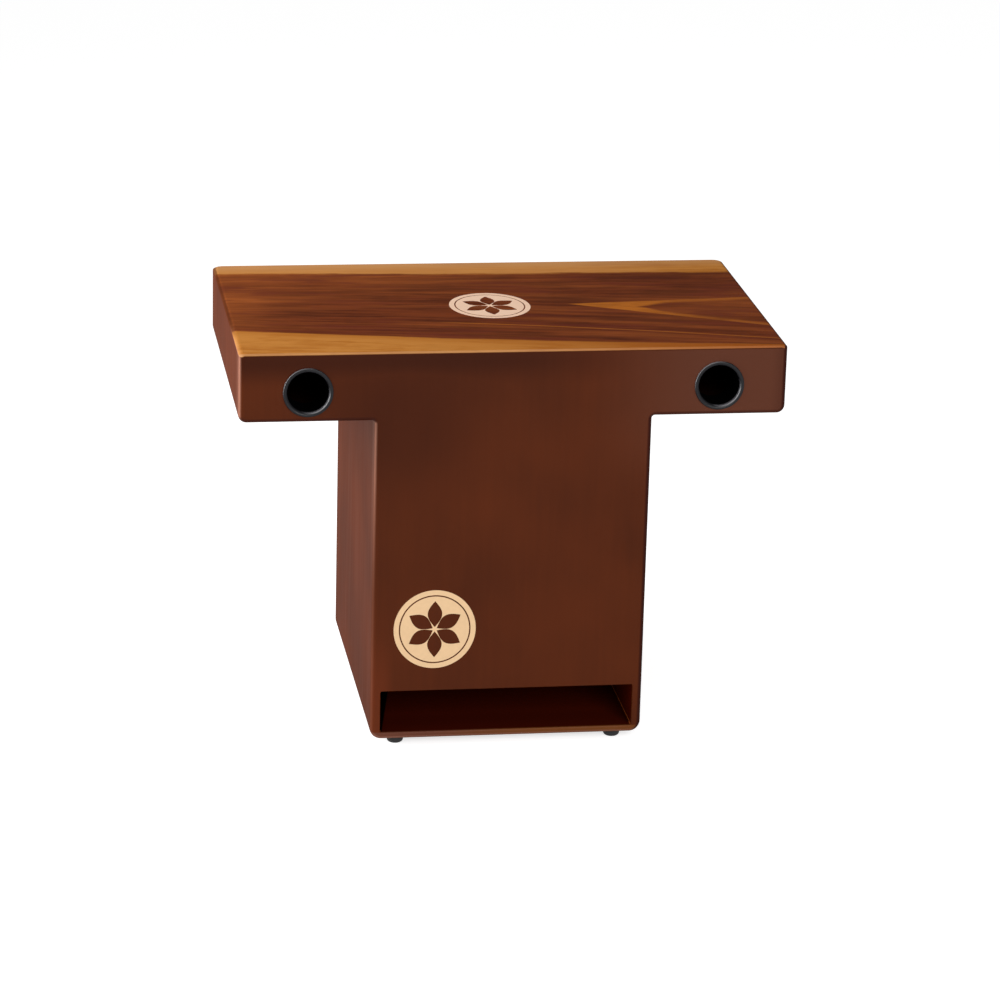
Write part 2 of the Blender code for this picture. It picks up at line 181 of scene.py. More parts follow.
floor_material = bpy.data.materials.new("pale_floor")
floor_material.use_nodes = True
floor_tree = floor_material.node_tree
floor_shader = floor_tree.nodes["Principled BSDF"]
floor_shader.inputs["Roughness"].default_value = 1.0
floor_shader.inputs["Specular IOR Level"].default_value = 0.0
floor_shader.inputs["Base Color"].default_value = FLOOR_COLOUR
floor_glow = background_rays(floor_tree).blend((0, 0, 0), [FLOOR_GLOW] * 3)
floor_shader.inputs["Emission Strength"].default_value = 1.0
floor_tree.links.new(floor_glow.socket, floor_shader.inputs["Emission Color"])
below = Wire(floor_tree.nodes.new("ShaderNodeNewGeometry").outputs["Backfacing"])
floor_tree.links.new((1 - below).socket, floor_shader.inputs["Alpha"])
floor_mesh.materials.append(floor_material)

for name, place, size, power in LAMPS:
    lamp_data = bpy.data.lights.new(name, "AREA")
    lamp_data.shape = "SQUARE"
    lamp_data.size = size
    lamp_data.energy = power
    lamp = bpy.data.objects.new(name, lamp_data)
    lamp.location = place
    lamp.rotation_euler = (LAMP_AIM - Vector(place)).to_track_quat("-Z", "Y").to_euler()
    bpy.context.scene.collection.objects.link(lamp)

world = bpy.data.worlds.new("white_room")
bpy.context.scene.world = world
world.use_nodes = True
room = world.node_tree.nodes["Background"]
room_colour = background_rays(world.node_tree).blend([ROOM_LEVEL] * 3, (1, 1, 1))
world.node_tree.links.new(room_colour.socket, room.inputs["Color"])
bpy.context.scene.view_settings.view_transform = "Standard"

# Front and back panels: two T-shaped sheets of 9.5 mm board, rounded over round their outer faces,
# the back one more. The front one has the bass slot and the port holes sawn in it. Both are stained
# and lacquered dark red-brown, and the other panels are glued between them.
SIDES = {"left": -1, "right": 1}
PEDESTAL_CORNER = 0.011
WING_CORNER = 0.008
INNER_CORNER = 0.003
EDGE = 0.0055
BACK_EDGE = 0.007
SLOT_CORNER = 0.0015
SLOT_EDGE = 0.0012
SLOT_EDGE_DEGREES = 80
SLOT_EDGE_STEPS = 4
SLOT_HEIGHT = 0.042
PORT_HOLE = 0.0217
ARC_STEPS = 10
EDGE_STEPS = 8
TURN_STEPS = 96
SHARP_DEGREES = 40
OVERCUT = 0.002

front_low, front_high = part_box("front_panel")
back_low, back_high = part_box("back_panel")
FRONT, BACK = front_low.y, back_high.y
WALL = back_high.y - back_low.y
BASE = front_low.z
HALF_WIDTH = front_high.x
PLATE_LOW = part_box("playing_surface")[0].z
HALF_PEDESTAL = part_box("pedestal_side_right")[1].x
WING_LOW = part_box("wing_end_right")[0].z
WING_FLOOR_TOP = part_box("wing_floor_right")[1].z
FLOOR_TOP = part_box("bottom_panel")[1].z
SLOT_TOP = FLOOR_TOP + SLOT_HEIGHT
INSIDE_PEDESTAL = HALF_PEDESTAL - WALL
INSIDE_WING = HALF_WIDTH - WALL
PORT_CENTRES = {}
for side in SIDES:
    port_low, port_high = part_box("port_tube_" + side)
    PORT_CENTRES[side] = ((port_low.x + port_high.x) / 2, (port_low.z + port_high.z) / 2)


def turn_corners(corners):
    """The outline through corners (x, z, radius), each right angle turned by its arc."""
    points = []
    for i, (x, z, radius) in enumerate(corners):
        before, after = Vector(corners[i - 1][:2]), Vector(corners[(i + 1) % len(corners)][:2])
        here = Vector((x, z))
        if radius <= 0:
            points.append(here)
            continue
        way_in, way_out = (here - before).normalized(), (after - here).normalized()
        centre = here + radius * (way_out - way_in)
        for step in range(ARC_STEPS + 1):
            angle = math.pi / 2 * step / ARC_STEPS
            points.append(centre - radius * (way_out * math.cos(angle) - way_in * math.sin(angle)))
    return points


def loft(name, rings):
    """A closed skin through rings of equal count, with one face over each end ring."""
    bm = bmesh.new()
    rows = [[bm.verts.new(point) for point in ring] for ring in rings]
    count = len(rows[0])
    for near, far in zip(rows, rows[1:]):
        for i in range(count):
            j = (i + 1) % count
            bm.faces.new((near[i], near[j], far[j], far[i]))
    bm.faces.new(rows[0])
    bm.faces.new(rows[-1])
    bmesh.ops.recalc_face_normals(bm, faces=bm.faces)
    mesh = bpy.data.meshes.new(name)
    bm.to_mesh(mesh)
    bm.free()
    piece = bpy.data.objects.new(name, mesh)
    bpy.context.scene.collection.objects.link(piece)
    return piece


def cut(piece, cutters):
    """Cut the cutters out of the piece, and throw the cutters away."""
    for cutter in cutters:
        modifier = piece.modifiers.new(cutter.name, "BOOLEAN")
        modifier.object = cutter
        modifier.operation = "DIFFERENCE"
        modifier.solver = "EXACT"
    graph = bpy.context.evaluated_depsgraph_get()
    mesh = bpy.data.meshes.new_from_object(piece.evaluated_get(graph))
    piece.modifiers.clear()
    piece.data = mesh
    for cutter in cutters:
        bpy.data.objects.remove(cutter)


def finish_piece(piece, material, slot, *nodes):
    """Smooth shading with crisp edges, the material, and what the piece stands for; slot is not used."""
    piece.data.shade_smooth()
    piece.data.set_sharp_from_angle(angle=math.radians(SHARP_DEGREES))
    normals = piece.modifiers.new("even_normals", "WEIGHTED_NORMAL")
    normals.keep_sharp = True
    piece.data.materials.clear()
    piece.data.materials.append(material)
    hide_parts(*nodes)
    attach(piece, "root")


def new_material(name, **constants):
    """A material, its Principled shader with constants on its sockets, and the point being shaded."""
    material = bpy.data.materials.new(name)
    material.use_nodes = True
    shader = material.node_tree.nodes["Principled BSDF"]
    for socket, value in constants.items():
        shader.inputs[socket.replace("_", " ")].default_value = value
    coordinates = material.node_tree.nodes.new("ShaderNodeTexCoord")
    return material, shader, Wire(coordinates.outputs["Object"])


def connect(shader, **wires):
    """Feed the shader's sockets, named with _ for a space."""
    for socket, wire in wires.items():
        wire.tree.links.new(wire.socket, shader.inputs[socket.replace("_", " ")])


def bump(height, depth):
    """A surface that rises by depth metres where height is 1."""
    return height.node("Bump", None, {"Height": height, "Distance": depth, "Strength": 1.0})


# the stain's colours, and colours that paint light and shade on the front, edges, lip, seam and inside
STAIN_DARK = (0.064, 0.0138, 0.0042)
STAIN_LIGHT = (0.100, 0.0205, 0.0055)
DEEP_SHADE_AND_PATCH = (0.038, 0.0080, 0.0030)
PALE_SHEEN = (0.106, 0.0330, 0.0175)
LIP_LIGHT = (0.172, 0.0540, 0.0140)
LIP_LIGHT_LEFT = (0.138, 0.0460, 0.0270)
STAIN_FLOOR = (0.055, 0.0050, 0.0012)
STAIN_FLOOR_BACK = (0.190, 0.0170, 0.0030)
STAIN_POST = (0.121, 0.0240, 0.0070)
PAINTED_FLOOR_SHADOW = (0.0015, 0.0004, 0.0003)
STAIN_WALLS = (0.085, 0.0070, 0.0015)
SEAM_HIGHLIGHT = (0.550, 0.1300, 0.0300)
WING_INSIDE_SHADE = (0.010, 0.0022, 0.0010)
PAINTED_EDGE_SHADE = (0.036, 0.0062, 0.0030)
PAINTED_EDGE_HIGHLIGHT = (0.430, 0.1930, 0.1300)
LACQUER_WEIGHT = 0.10

# where the finish and the painted light and shade change: a pair is where along an axis a change starts and
# where it is complete, and the pair of the spot beside the left wing's root is two distances from it
FRONT_SKIN = (FRONT + 0.005, FRONT + 0.001)
UNDER_PLATE = (0.358, 0.386)
UNDER_PLATE_LEFT = (0.15, -0.03)
ROOT_SPOT = (-0.105, FRONT, 0.325)
ROOT_SPOT_REACH = (0.120, 0.020)
PALE_RIGHT = (0.06, 0.20)
PALE_HIGH = (0.24, 0.33)
POST_LEFT = (-0.108, -0.122)
POST_LOW = (0.12, 0.06)
LIP_BELOW = (FLOOR_TOP + 0.0008, FLOOR_TOP - 0.0008)
LIP_RIGHT = (-0.09, 0.03)
HIGHLIGHT_HIGH = (0.14, 0.37)
HIGHLIGHT_LOW = (0.10, 0.04)
HIGHLIGHT_FRONT = (-0.04, -0.155)
SIDE_LIGHT_FRONT = (-0.130, -0.157)
SIDE_LIGHT_HIGH = (0.14, 0.28)
PEDESTAL_LIGHT_FRONT = (-0.02, -0.14)
PEDESTAL_LIGHT_HIGH = (0.25, 0.32)
WING_HIGH = (0.20, 0.30)
RIGHT_RIM = (0.244, 0.257)
SLOT_RIM_SIDE = (INSIDE_PEDESTAL + 0.004, INSIDE_PEDESTAL + 0.0015)
SLOT_RIM_LOW = (FLOOR_TOP - 0.0016, FLOOR_TOP - 0.0010)
SLOT_RIM_HIGH = (SLOT_TOP + 0.004, SLOT_TOP + 0.0015)
INSIDE_FRONT = (FRONT + 0.0012, FRONT + 0.0030)
INSIDE_BACK = (BACK - 0.002, BACK - 0.004)
INTO_WINGS = (SLOT_TOP + 0.1, WING_FLOOR_TOP - 0.01)
SEAM_ABOVE = (FLOOR_TOP + 0.0022, FLOOR_TOP + 0.0010)
FLOOR_BACK = (-0.14, 0.0)
# the painted shadow on the inner floor: its edge at the front, and how fast it widens towards the back
UNLIT_EDGE = (-0.121, -0.16)
UNLIT_WIDENS = 0.177


def lacquer_material():
    """Red-brown stain under a thin satin lacquer, cloudy and darker in places, with painted highlights and
    shade.
    """
    material, shader, point = new_material("red_brown_lacquer", Specular_IOR_Level=0.0, Coat_Roughness=0.28)
    x, y, z = point.split()
    across = abs(x)
    normal = point.node("NewGeometry", output="Normal")
    lean = normal.split()
    facing = normal.node("VectorMath", {"operation": "ABSOLUTE"}, {0: normal}).split()
    cloud = point.noise(7.0, 2.0, 0.5)
    patch = point.noise(26.0, 2.0, 0.5, (1.0, 1.0, 0.6))
    streak = point.noise(150.0, 3.0, 0.6, (1.0, 1.0, 0.05))
    tone = cloud * 0.65 + patch * 0.20 + streak * 0.15
    colour = tone.step(0.22, 0.72).blend(STAIN_DARK, STAIN_LIGHT)
    # on the front, painted shade under the left of the playing surface, a darker patch beside the left
    # wing's root, and a painted sheen that makes it paler high up at the right
    front = y.step(*FRONT_SKIN)
    under = z.step(*UNDER_PLATE) * x.step(*UNDER_PLATE_LEFT) * 0.80
    spot = point.node("VectorMath", {"operation": "DISTANCE"}, {0: point, 1: ROOT_SPOT}, "Value")
    under_plate_shade_and_patch = front * under.larger(spot.step(*ROOT_SPOT_REACH) * 0.55)
    colour = under_plate_shade_and_patch.blend(colour, DEEP_SHADE_AND_PATCH)
    colour = (front * x.step(*PALE_RIGHT) * z.step(*PALE_HIGH)).blend(colour, PALE_SHEEN)
    # the post on the slot's left is lighter, and the narrow lip under it is painted lighter, as light from
    # below
    colour = (front * x.step(*POST_LEFT) * z.step(*POST_LOW)).blend(colour, STAIN_POST)
    lip_light = x.step(*LIP_RIGHT).blend(LIP_LIGHT_LEFT, LIP_LIGHT)
    colour = (front * z.step(*LIP_BELOW)).blend(colour, lip_light)
    # painted highlights on the rounded edges at the left, most of all high up, and along the foot
    square = facing[0].larger(facing[1]).larger(facing[2])
    edge_highlight = lean[0].step(-0.42, -0.90) * (0.12 + 0.88 * z.step(*HIGHLIGHT_HIGH))
    edge_highlight = edge_highlight.larger(lean[2].step(-0.15, -0.45) * z.step(*HIGHLIGHT_LOW) * 0.35)
    slot_edge = across.step(*SLOT_RIM_SIDE) * z.step(*SLOT_RIM_LOW) * z.step(*SLOT_RIM_HIGH)
    edge_highlight = edge_highlight * square.step(0.997, 0.87) * (1 - slot_edge) * y.step(*HIGHLIGHT_FRONT)
    # with painted light on the left sides just behind them, which reaches further on the pedestal below the
    # wing
    side_light = y.step(*SIDE_LIGHT_FRONT) * z.step(*SIDE_LIGHT_HIGH) * 0.20
    pedestal_light = across.step(0.15, 0.14) * y.step(*PEDESTAL_LIGHT_FRONT) * z.step(*PEDESTAL_LIGHT_HIGH)
    side_light = side_light + pedestal_light * 0.08
    edge_highlight = edge_highlight + lean[0].step(-0.90, -0.99) * side_light
    colour = (edge_highlight * (0.70 + 0.45 * patch)).blend(colour, PAINTED_EDGE_HIGHLIGHT)
    # painted shade on the rounded edges at the right and under the wings, and on the front's right rim
    under_wing_shade = lean[2].step(-0.05, -0.45) * z.step(*WING_HIGH) * 0.65
    edge_shade = under_wing_shade.larger(lean[0].step(0.02, 0.55)) * square.step(0.9995, 0.97)
    edge_shade = edge_shade + front * x.step(*RIGHT_RIM) * 0.30 * (1 - edge_shade)
    colour = (edge_shade * (1 - slot_edge)).blend(colour, PAINTED_EDGE_SHADE)

    def hollow(half, low):
        """1 inside a hollow of this half width above this height, 0 in its walls and floor."""
        return across.step(half + 0.002, half + 0.001) * z.step(low - 0.002, low - 0.001)

    # no lacquer inside, only the stain, and a pale seam where the bottom meets the sides, painted as a
    # highlight
    behind = y.step(*INSIDE_FRONT) * y.step(*INSIDE_BACK)
    inside = behind * hollow(INSIDE_PEDESTAL, FLOOR_TOP).larger(hollow(INSIDE_WING, WING_FLOOR_TOP))
    bottom = y.step(*FLOOR_BACK).blend(STAIN_FLOOR, STAIN_FLOOR_BACK)
    # along the left wall the floor is painted black as shadow, in a strip that widens towards the back
    unlit = (x - UNLIT_EDGE[0] - UNLIT_WIDENS * (y - UNLIT_EDGE[1])).step(0.0008, -0.0012)
    bottom = unlit.blend(bottom, PAINTED_FLOOR_SHADOW)
    stain_and_shade = facing[0].step(0.4, 0.6).blend(bottom, STAIN_WALLS)
    # high in the wings the colour is near-black, painted shade
    stain_and_shade = z.step(*INTO_WINGS).blend(stain_and_shade, WING_INSIDE_SHADE)
    seam_highlight = facing[0].step(0.4, 0.6) * z.step(*SEAM_ABOVE) * (0.5 + 0.6 * patch)
    colour = inside.blend(colour, seam_highlight.blend(stain_and_shade, SEAM_HIGHLIGHT))
    gloss = LACQUER_WEIGHT * (1 - inside) * (1 - facing[0] * (0.60 - 0.70 * streak))
    connect(shader, Base_Color=colour, Roughness=0.50 + 0.12 * cloud, Coat_Weight=gloss,
            Normal=bump(streak * 0.6 + patch * 0.4, 0.00003))
    return material


lacquer = lacquer_material()


def t_outline(inset):
    """The T seen from the front, drawn in by inset everywhere but along its top."""
    half, wide = HALF_PEDESTAL - inset, HALF_WIDTH - inset
    low, shoulder = BASE + inset, WING_LOW + inset
    return turn_corners([
        (-half, low, PEDESTAL_CORNER - inset), (half, low, PEDESTAL_CORNER - inset),
        (half, shoulder, INNER_CORNER + inset), (wide, shoulder, WING_CORNER - inset),
        (wide, PLATE_LOW, 0), (-wide, PLATE_LOW, 0),
        (-wide, shoulder, WING_CORNER - inset), (-half, shoulder, INNER_CORNER + inset),
    ])


def t_panel(name, outer, inner, edge):
    """A T-shaped board, rounded over by edge where its face meets its rim."""
    inward = math.copysign(1, inner - outer)
    rings = []
    for step in range(EDGE_STEPS + 1):
        angle = math.pi / 2 * step / EDGE_STEPS
        y = outer + inward * edge * (1 - math.cos(angle))
        rings.append([(p.x, y, p.y) for p in t_outline(edge * (1 - math.sin(angle)))])
    rings.append([(p.x, inner, p.y) for p in t_outline(0)])
    return loft(name, rings)


def slot_cutter():
    """The slot's clear opening, flared at the front so that its edge comes out rounded."""
    turns = [math.radians(SLOT_EDGE_DEGREES * i / SLOT_EDGE_STEPS) for i in range(SLOT_EDGE_STEPS, -1, -1)]
    places = [(FRONT - OVERCUT, SLOT_EDGE * (1 - math.cos(turns[0])))]
    for turn in turns:
        places.append((FRONT + SLOT_EDGE * (1 - math.sin(turn)), SLOT_EDGE * (1 - math.cos(turn))))
    places.append((FRONT + WALL + OVERCUT, 0.0))
    rings = []
    for y, grow in places:
        half, low, high = INSIDE_PEDESTAL + grow, FLOOR_TOP - grow, SLOT_TOP + grow
        radius = SLOT_CORNER + grow
        outline = turn_corners([(-half, low, radius), (half, low, radius), (half, high, radius),
                                (-half, high, radius)])
        rings.append([(p.x, y, p.y) for p in outline])
    return loft("slot_cutter", rings)


def circle(radius, count=TURN_STEPS):
    """Points round a circle about the origin."""
    angles = [2 * math.pi * i / count for i in range(count)]
    return [(radius * math.cos(a), radius * math.sin(a)) for a in angles]


def port_cutter(side, x, z):
    """The hole for a port tube, right through the front panel."""
    ends = (FRONT - OVERCUT, FRONT + WALL + OVERCUT)
    return loft("hole_" + side, [[(x + px, y, z + pz) for px, pz in circle(PORT_HOLE)] for y in ends])


front_panel = t_panel("front_board", FRONT, FRONT + WALL, EDGE)
cut(front_panel, [slot_cutter(), *(port_cutter(side, *centre) for side, centre in PORT_CENTRES.items())])
finish_piece(front_panel, lacquer, "lacquered_body", "front_panel")
back_panel = t_panel("back_board", BACK, BACK - WALL, BACK_EDGE)
finish_piece(back_panel, lacquer, "lacquered_body", "back_panel")

# Bottom, pedestal sides, wing floors and wing ends: boards cut square and glued between the two
# T-shaped ones. Outside they're flush with them, so the lacquer hides the joints.
def board(name, outline, *nodes):
    """A board between front and back panels, from its outline in X and Z."""
    piece = loft(name, [[(x, y, z) for x, z in outline] for y in (FRONT + WALL, BACK - WALL)])
    finish_piece(piece, lacquer, "lacquered_body", *nodes)


def quarter(x, z, radius, start):
    """Points on a quarter circle round (x, z), from start degrees anticlockwise."""
    angles = [math.radians(start + 90 * i / ARC_STEPS) for i in range(ARC_STEPS + 1)]
    return [(x + radius * math.cos(a), z + radius * math.sin(a)) for a in angles]


board("bottom_board", [(-INSIDE_PEDESTAL, BASE), (INSIDE_PEDESTAL, BASE), (INSIDE_PEDESTAL, FLOOR_TOP),
                       (-INSIDE_PEDESTAL, FLOOR_TOP)], "bottom_panel")
corner = quarter(HALF_PEDESTAL - PEDESTAL_CORNER, BASE + PEDESTAL_CORNER, PEDESTAL_CORNER, -90)
side_outline = [p for p in corner if p[0] > INSIDE_PEDESTAL]
rise = PEDESTAL_CORNER - math.sqrt(PEDESTAL_CORNER ** 2 - (PEDESTAL_CORNER - WALL) ** 2)
side_outline += [(HALF_PEDESTAL, WING_FLOOR_TOP), (INSIDE_PEDESTAL, WING_FLOOR_TOP),
                 (INSIDE_PEDESTAL, BASE + rise)]
cove = quarter(HALF_PEDESTAL + INNER_CORNER, WING_LOW - INNER_CORNER, INNER_CORNER, 90)
wing_floor_outline = [*cove, (HALF_PEDESTAL, WING_FLOOR_TOP), (INSIDE_WING, WING_FLOOR_TOP),
                      (INSIDE_WING, WING_LOW)]
end_outline = [(INSIDE_WING, WING_LOW),
               *quarter(HALF_WIDTH - WING_CORNER, WING_LOW + WING_CORNER, WING_CORNER, -90),
               (HALF_WIDTH, PLATE_LOW), (INSIDE_WING, PLATE_LOW)]
for side, sign in SIDES.items():
    for name, outline in (("pedestal_side_", side_outline), ("wing_floor_", wing_floor_outline),
                          ("wing_end_", end_outline)):
        board(name + "board_" + side, [(sign * x, z) for x, z in outline], name + side)

# Wooden strips inside: liners that the playing surface is glued to, cleats in the corners, battens over
# the joints and a bar in each wing for the snare wires. They are unfinished softwood, sawn to length
# and glued in, with the grain along each strip.
PINE_LIGHT = (0.62, 0.42, 0.22)
PINE_DARK = (0.46, 0.27, 0.115)
ALONG = 0.03
ENDS = ("front", "back")


def pine_material(axis):
    """Sawn pine with its grain along X, Y or Z."""
    stretch = [ALONG if name == axis else 1.0 for name in "XYZ"]
    material, shader, point = new_material("bare_pine_" + axis, Specular_IOR_Level=0.2)
    wander = point.noise(14.0, 2.0, 0.5, stretch)
    rings = (point.noise(260.0, 2.0, 0.5, stretch) * 0.7 + wander * 0.3).step(0.36, 0.60)
    fibre = point.noise(1900.0, 3.0, 0.6, stretch)
    colour = (rings * 0.75 + fibre * 0.25).blend(PINE_DARK, PINE_LIGHT)
    connect(shader, Base_Color=colour, Roughness=0.62 + 0.20 * fibre, Normal=bump(fibre, 0.00012))
    return material


pine = {axis: pine_material(axis) for axis in "XYZ"}
strips = {"X": ["top_liner_front", "top_liner_back", "floor_cleat_back"], "Y": [], "Z": []}
for side in SIDES:
    strips["Y"] += ["top_liner_" + side, "joint_batten_" + side, "snare_bar_" + side]
    strips["Z"] += ["corner_cleat_" + end + "_" + side for end in ENDS]
for axis, names in strips.items():
    for name in names:
        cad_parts[name].material_slots[0].material = pine[axis]

# Snare wires: ten fine steel coils in each wing, soldered to a plate at either end. The inner plate is
# screwed to a bar across the wing, and the coils lie against the underside of the playing surface.
COILS = 10
COIL_SPACING = 0.0042
COIL_RADIUS = 0.0009
WIRE_RADIUS = 0.00022
COIL_PITCH = 0.0011
COIL_STEPS = 8
WIRE_SIDES = 4
SNARE_PLATE = 0.001
SNARE_PLATE_HALF = 0.006
SNARE_PLATE_CORNER = 0.0015
SNARE_TIP_HALF = 0.0025
SNARE_TIP_REACH = 0.021
SNARE_HOLE_FROM_END = 0.006
SNARE_HOLE = 0.0018
SOLDER = 0.0002
HOLE_STEPS = 32
MIDDLE = (FRONT + BACK) / 2
STEEL_LIGHT = (0.74, 0.74, 0.75)
STEEL_DARK = (0.56, 0.56, 0.58)


def metal_material(name, light, dark, roughness):
    """Plated metal, a little clouded."""
    material, shader, point = new_material(name, Metallic=1.0)
    cloud = point.noise(700.0, 3.0, 0.6)
    fine = point.noise(5000.0, 2.0, 0.5)
    colour = cloud.step(0.30, 0.75).blend(dark, light)
    connect(shader, Base_Color=colour, Roughness=roughness + 0.14 * cloud, Normal=bump(fine, 0.000004))
    return material


steel = metal_material("bright_steel", STEEL_LIGHT, STEEL_DARK, 0.22)


def flat_piece(name, outlines, thickness):
    """The mesh of a flat sheet halfway up its own Z: an outline inside another one opens or fills it."""
    curve = bpy.data.curves.new(name, "CURVE")
    curve.dimensions = "2D"
    curve.fill_mode = "BOTH"
    curve.extrude = thickness / 2
    for outline in outlines:
        spline = curve.splines.new("POLY")
        spline.points.add(len(outline) - 1)
        for spot, (x, y) in zip(spline.points, outline):
            spot.co = (x, y, 0, 1)
        spline.use_cyclic_u = True
    source = bpy.data.objects.new(name, curve)
    bpy.context.scene.collection.objects.link(source)
    graph = bpy.context.evaluated_depsgraph_get()
    mesh = bpy.data.meshes.new_from_object(source.evaluated_get(graph))
    bpy.data.objects.remove(source)
    return mesh


def add_flat(bm, outlines, place):
    """Add a flat steel plate, its middle at place."""
    before = set(bm.verts)
    bm.from_mesh(flat_piece("snare_plate", outlines, SNARE_PLATE))
    bmesh.ops.translate(bm, verts=[v for v in bm.verts if v not in before], vec=place)


def add_coil(bm, start, reach, y, z):
    """Add one coil of wire along X, from start by reach, closed at both ends."""
    turn_radius = COIL_RADIUS - WIRE_RADIUS
    rings = []
    steps = round(abs(reach) / COIL_PITCH * COIL_STEPS)
    spokes = [2 * math.pi * k / WIRE_SIDES for k in range(WIRE_SIDES)]
    for i in range(steps + 1):
        angle = 2 * math.pi * i / COIL_STEPS
        out = Vector((0, math.cos(angle), math.sin(angle)))
        middle = Vector((start + reach * i / steps, y, z)) + turn_radius * out
        rings.append([bm.verts.new(middle + WIRE_RADIUS * (math.cos(s) * out + Vector((math.sin(s), 0, 0))))
                      for s in spokes])
    for near, far in zip(rings, rings[1:]):
        for k in range(WIRE_SIDES):
            j = (k + 1) % WIRE_SIDES
            bm.faces.new((near[k], near[j], far[j], far[k]))
    bm.faces.new(rings[0])
    bm.faces.new(rings[-1])


def plate_corners(half, reach, radius):
    """The outline of a flat plate, its corners rounded, about its middle."""
    return [(p.x, p.y) for p in turn_corners([(-half, -reach, radius), (half, -reach, radius),
                                              (half, reach, radius), (-half, reach, radius)])]


for side, sign in SIDES.items():
    low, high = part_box("snare_set_" + side)
    near_end, far_end = (high.x, low.x) if sign < 0 else (low.x, high.x)
    reach_y = (high.y - low.y) / 2
    plate_z = low.z + SNARE_PLATE / 2
    snare = bmesh.new()
    hole_y = reach_y - SNARE_HOLE_FROM_END
    holes = [[(px, py + toward * hole_y) for px, py in circle(SNARE_HOLE, HOLE_STEPS)]
             for toward in (-1, 1)]
    add_flat(snare, [plate_corners(SNARE_PLATE_HALF, reach_y, SNARE_PLATE_CORNER), *holes],
             (near_end + sign * SNARE_PLATE_HALF, MIDDLE, plate_z))
    add_flat(snare, [plate_corners(SNARE_TIP_HALF, SNARE_TIP_REACH, SNARE_PLATE_CORNER / 2)],
             (far_end - sign * SNARE_TIP_HALF, MIDDLE, plate_z))
    coil_start = near_end + sign * (SNARE_PLATE_HALF + SOLDER)
    coil_reach = far_end - sign * SOLDER - coil_start
    for i in range(COILS):
        coil_y = MIDDLE + (i - (COILS - 1) / 2) * COIL_SPACING
        add_coil(snare, coil_start, coil_reach, coil_y, high.z - COIL_RADIUS)
    bmesh.ops.recalc_face_normals(snare, faces=snare.faces)
    snare_mesh = bpy.data.meshes.new("snare_wires_" + side)
    snare.to_mesh(snare_mesh)
    snare.free()
    wires = bpy.data.objects.new("snare_wires_" + side, snare_mesh)
    bpy.context.scene.collection.objects.link(wires)
    finish_piece(wires, steel, "snare_steel", "snare_set_" + side)

# Playing surface: a 3 mm plate glued over the whole top. Its face is walnut veneer, with sapwood
# along both long edges, under a satin oil. Its narrow edges are rounded over, most at the two
# ends, where the body's lacquer covers them.
PLATE_EDGE = 0.0025
PLATE_END = 0.0050
PLATE_DROP = 0.0028
# the plate lies lower by the thickness of a print, so that the print ends level with the frame
PRINT = 0.0001
TOP = cad_box[1].z
VENEER_TOP = TOP - PRINT
# a face is veneer where it looks up at least so far, and leans no further than this to either end
VENEER_UP = 0.05
VENEER_RIGHT = 0.35
VENEER_LEFT = 0.80

HEART = (0.200, 0.0420, 0.0105)
HEART_DARK = (0.088, 0.0175, 0.0050)
HEART_LIGHT = (0.340, 0.0860, 0.0190)
HEART_PLUM = (0.125, 0.0205, 0.0125)
SAPWOOD = (0.68, 0.290, 0.062)
SAPWOOD_DARK = (0.48, 0.165, 0.024)
SAPWOOD_BACK = (0.72, 0.330, 0.105)
SAPWOOD_TINGED = (0.34, 0.075, 0.0060)
BAND = (0.56, 0.170, 0.0210)
PORES = (0.050, 0.0100, 0.0030)
# a pale colour painted as a highlight on the plate's rounded edges, also used along its back edge
PALE_RIM_AND_BACK = (0.62, 0.360, 0.190)

# lines along the plate: Y at its middle, slope to the right, bend
FRONT_SAP_LINE = (-0.1235, -0.1452, 0.106)
BACK_SAP_LINE = (0.116, -0.036, 0.048)
THIN_LINE = (-0.0705, -0.19, -0.19)
BAND_LINE = (0.01306, -0.19, 0.0)
# the pointed band: where it starts, half its width there, how much longer it is than each half of it
# is wide, the thickness of its arms, and how much thicker it is near its tip
BAND_START = 0.080
BAND_TIP_HALF = 0.0012
BAND_TAPER = 3.46
BAND_ARM = 0.0070
BAND_SOLID = 0.0160

# where the figure and the painted highlight change: a pair is where along or across the plate a change
# starts and where it is complete, and the pair for the light back left is measured on a slant
LEAN_FRONT = (0.12, -0.12)
LIGHT_BACK_LEFT = (0.02, 0.20)
LIGHT_SLANT = 0.45
LIGHT_LEFT_END = (-0.19, -0.26)
LIGHT_RIGHT = (0.10, 0.20)
LIGHT_RIGHT_FRONT = (-0.10, -0.07)
LIGHT_RIGHT_BACK = (0.06, 0.02)
THIN_LINE_LEFT = (-0.07, -0.03)
BAND_SOLID_LEFT = (0.178, 0.122)
BAND_FADES = (0.12, 0.22)
BACK_SAP_FADES = (0.08, 0.24)
FRONT_SAP_TINGED = (-0.13, 0.33)
RIM_HIGHLIGHT_LESS_RIGHT = (0.0, 0.22)
RIM_HIGHLIGHT_LEFT_END = (-0.03, -0.14)
PALE_BACK_EDGE = (0.128, 0.156)
STAINED_LEFT_END = (-0.12, -0.03)


def along_plate(x, middle, slope, bend):
    """Y of a line along the plate, sloping and bent as growth rings are."""
    return middle + slope * x + bend * (x * x)


